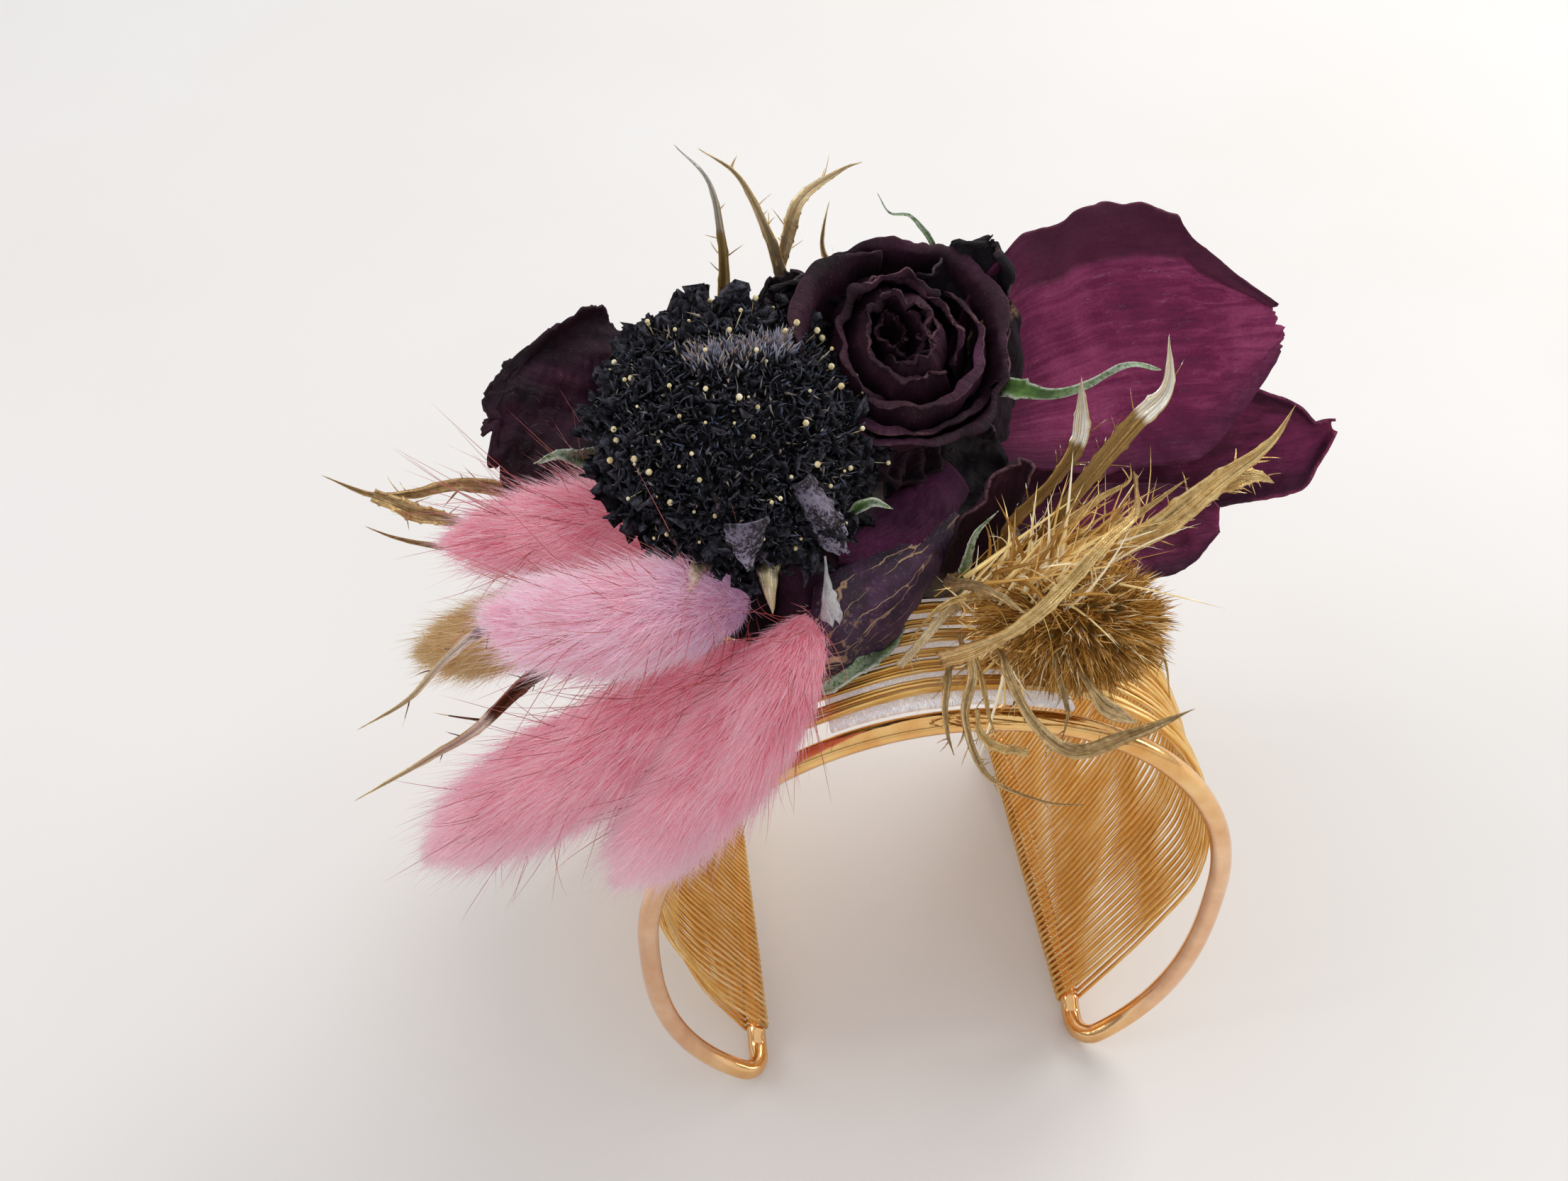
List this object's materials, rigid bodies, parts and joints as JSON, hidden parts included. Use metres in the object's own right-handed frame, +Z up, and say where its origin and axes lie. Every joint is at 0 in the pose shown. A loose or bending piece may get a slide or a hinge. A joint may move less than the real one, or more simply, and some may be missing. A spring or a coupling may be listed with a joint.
{
  "type": "wrist corsage",
  "caption": "Open wire cuff, wound with fine wire, carrying a posy of dried dark flowers, grass tails and gilded thistle.",
  "frame": {"origin": "centre of the bounding box at table level, where the two end rails of the cuff rest", "axes": "+Z up, through the crown of the cuff to the posy; Y along the wearer's arm with -Y towards the front of the posy; X across the wrist"},
  "size_m": [0.1024, 0.0614, 0.1025],
  "materials": {
    "frame_metal": "polished rose-gold plated wire",
    "winding_metal": "bright drawn gold wire",
    "backing_felt": "fine white mesh felt",
    "floral_glue": "set floral adhesive",
    "black_florets": "crumpled dry florets",
    "stem_fibre": "dry fibrous stem",
    "plum_petals": "dry velvety petal with fine veins",
    "dark_petals": "dry velvety petal with pale curled rims",
    "pink_fur": "dyed soft grass fur",
    "gold_fur": "gold-sprayed soft grass fur",
    "thistle_bristle": "stiff gold-brown bristles",
    "gilded_blade": "dry spiny leaf sprayed with metallic gold",
    "green_sepal": "dry grey-green sepal",
    "pale_bract": "dry hairy pale bract"
  },
  "bodies": {
    "root": {"frame_wire": "frame_metal", "wire_winding": "winding_metal", "backing_pad": "backing_felt", "scabiosa_head": "black_florets", "rose_core": "dark_petals", "thistle_head": "thistle_bristle", "scabiosa_stem": "stem_fibre", "rose_hip": "stem_fibre", "rose_petal_1": "dark_petals", "rose_petal_2": "dark_petals", "rose_petal_3": "dark_petals", "rose_petal_4": "dark_petals", "rose_petal_5": "dark_petals", "rose_petal_6": "dark_petals", "rose_petal_7": "dark_petals", "scabiosa_frill": "black_florets", "thistle_blade_1": "gilded_blade", "thistle_blade_2": "gilded_blade", "thistle_blade_3": "gilded_blade", "thistle_blade_4": "gilded_blade", "thistle_blade_5": "gilded_blade", "thistle_blade_6": "gilded_blade", "thistle_blade_7": "gilded_blade", "thistle_blade_8": "gilded_blade", "thistle_blade_9": "gilded_blade", "thistle_blade_10": "gilded_blade", "top_blade_silver": "gilded_blade", "top_blade_fork": "gilded_blade", "top_blade_back": "gilded_blade", "left_blade_upper": "gilded_blade", "left_blade_lower": "gilded_blade", "left_blade_near": "gilded_blade", "left_blade_front": "gilded_blade", "sepal_right": "green_sepal", "sepal_left": "green_sepal", "sepal_under_bud": "green_sepal", "sepal_middle": "green_sepal", "tendril_top": "green_sepal", "white_bract": "pale_bract", "pale_bract_1": "pale_bract", "pale_bract_2": "pale_bract", "pink_tail_top": "pink_fur", "pink_tail_back": "pink_fur", "pink_tail_left": "pink_fur", "pink_tail_front": "pink_fur", "gold_tail": "gold_fur", "bud_hip": "stem_fibre", "bud_core": "dark_petals", "plum_petal_large": "plum_petals", "plum_petal_side": "plum_petals", "plum_petal_low": "plum_petals", "dark_petal_left": "dark_petals", "dark_petal_left_low": "dark_petals", "dark_petal_back": "dark_petals", "dark_petal_middle": "dark_petals", "bud_petal_front": "dark_petals", "bud_petal_fold": "dark_petals", "bud_petal_left": "dark_petals", "bud_petal_wing": "dark_petals", "glue_mound": "floral_glue"}
  },
  "joints": []
}
